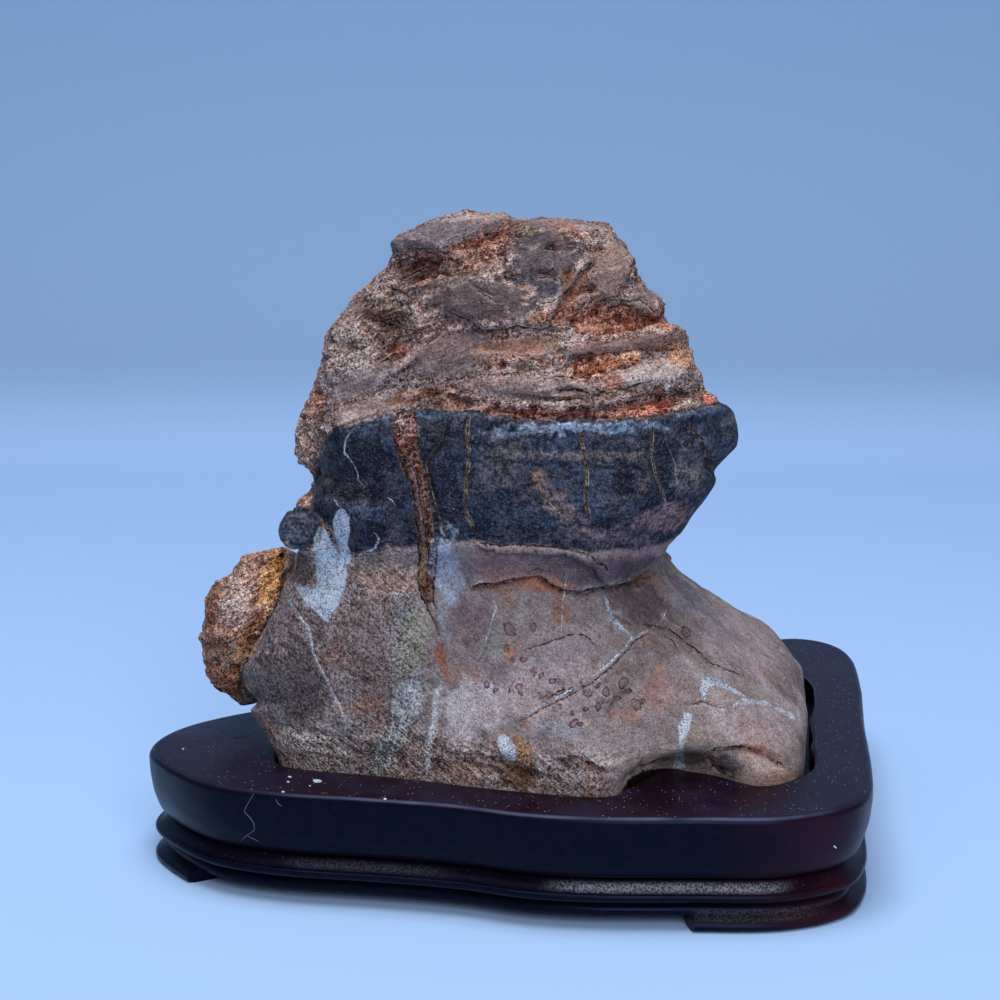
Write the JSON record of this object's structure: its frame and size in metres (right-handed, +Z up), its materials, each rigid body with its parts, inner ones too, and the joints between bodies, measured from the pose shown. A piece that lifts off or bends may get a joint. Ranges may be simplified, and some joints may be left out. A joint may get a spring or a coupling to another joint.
{
  "type": "scholars rock on a stand",
  "caption": "Natural viewing stone with a rough cap, a dark band and a flared foot, resting in the fitted seat of a low lacquered wooden stand with moulded edge and feet.",
  "frame": {"origin": "middle of the stand's outline, on the surface that its feet stand on", "axes": "+X along the stand's length, towards its broad end, +Y across its width, towards the straight far side, +Z up. The picture looks from azimuth -26 degrees, 11.5 degrees down"},
  "size_m": [0.1502, 0.0954, 0.1135],
  "materials": {
    "rock": "matt, natural stone: rough ochre cap, dark grey-blue band, pinkish brown body with white and rust veins",
    "lacquered_wood": "satin lacquer, very dark red-brown, dusty on top"
  },
  "bodies": {
    "root": {"stone": "rock", "seat_board": "lacquered_wood", "plinth": "lacquered_wood"}
  },
  "joints": []
}
